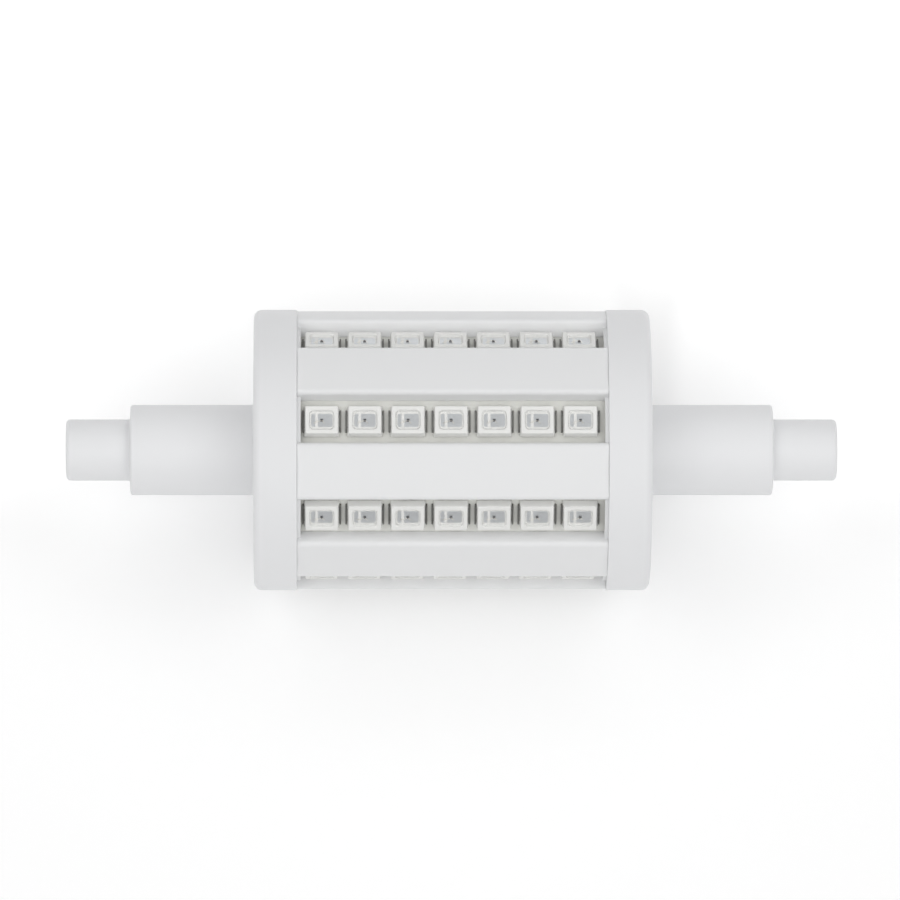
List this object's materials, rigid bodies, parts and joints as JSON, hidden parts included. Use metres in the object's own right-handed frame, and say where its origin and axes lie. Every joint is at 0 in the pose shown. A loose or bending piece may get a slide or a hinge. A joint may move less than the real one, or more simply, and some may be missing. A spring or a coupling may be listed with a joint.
{
  "type": "linear led lamp",
  "caption": "Double-ended tubular LED lamp: ribbed white body with rows of surface-mount lights behind its windows, stepped necks and recessed end contacts",
  "frame": {"origin": "middle of the lamp on its long axis", "axes": "+X along the lamp from contact to contact, +Z out of the middle of the first light window"},
  "size_m": [0.078, 0.0284, 0.0284],
  "materials": {
    "cap_plastic": "satin white moulding",
    "contact_metal": "nickel plated",
    "rib_plastic": "satin white moulding",
    "core_metal": "plain extrusion",
    "light_board": "pale solder mask",
    "package_plastic": "white moulding",
    "lead_metal": "tinned sheet",
    "clear_resin": "clear, cast flush",
    "chip_crystal": "dark, polished",
    "link_board": "white solder mask",
    "solder": "bright fillet",
    "sleeve_plastic": "white moulding",
    "driver_laminate": "green solder mask",
    "resistor_coat": "cement coat",
    "chip_plastic": "black moulding",
    "capacitor_sleeve": "shrunk film",
    "ferrite": "fired ceramic",
    "copper_winding": "enamelled copper",
    "wire_cover": "white insulation",
    "tinned_wire": "tinned copper"
  },
  "bodies": {
    "root": {"end_cap_left": "cap_plastic", "end_cap_right": "cap_plastic", "contact_left": "contact_metal", "contact_right": "contact_metal", "rib_cage": "rib_plastic", "core_tube": "core_metal", "light_board_1": "light_board", "light_board_2": "light_board", "light_board_3": "light_board", "light_board_4": "light_board", "light_board_5": "light_board", "light_board_6": "light_board", "light_board_7": "light_board", "light_board_8": "light_board", "light_packages_1": "package_plastic", "light_packages_2": "package_plastic", "light_packages_3": "package_plastic", "light_packages_4": "package_plastic", "light_packages_5": "package_plastic", "light_packages_6": "package_plastic", "light_packages_7": "package_plastic", "light_packages_8": "package_plastic", "light_leads_1": "lead_metal", "light_leads_2": "lead_metal", "light_leads_3": "lead_metal", "light_leads_4": "lead_metal", "light_leads_5": "lead_metal", "light_leads_6": "lead_metal", "light_leads_7": "lead_metal", "light_leads_8": "lead_metal", "light_lenses_1": "clear_resin", "light_lenses_2": "clear_resin", "light_lenses_3": "clear_resin", "light_lenses_4": "clear_resin", "light_lenses_5": "clear_resin", "light_lenses_6": "clear_resin", "light_lenses_7": "clear_resin", "light_lenses_8": "clear_resin", "light_chips": "chip_crystal", "link_ring_left": "link_board", "link_ring_right": "link_board", "solder_left": "solder", "solder_right": "solder", "insulator_sleeve": "sleeve_plastic", "driver_board": "driver_laminate", "fuse_resistor": "resistor_coat", "bridge_rectifier": "chip_plastic", "driver_chip": "chip_plastic", "flywheel_diode": "chip_plastic", "bulk_capacitor": "capacitor_sleeve", "output_capacitor": "capacitor_sleeve", "inductor_core": "ferrite", "inductor_winding": "copper_winding", "input_wire_left": "wire_cover", "input_wire_right": "wire_cover", "output_link_left": "tinned_wire", "output_link_right": "tinned_wire"}
  },
  "joints": []
}
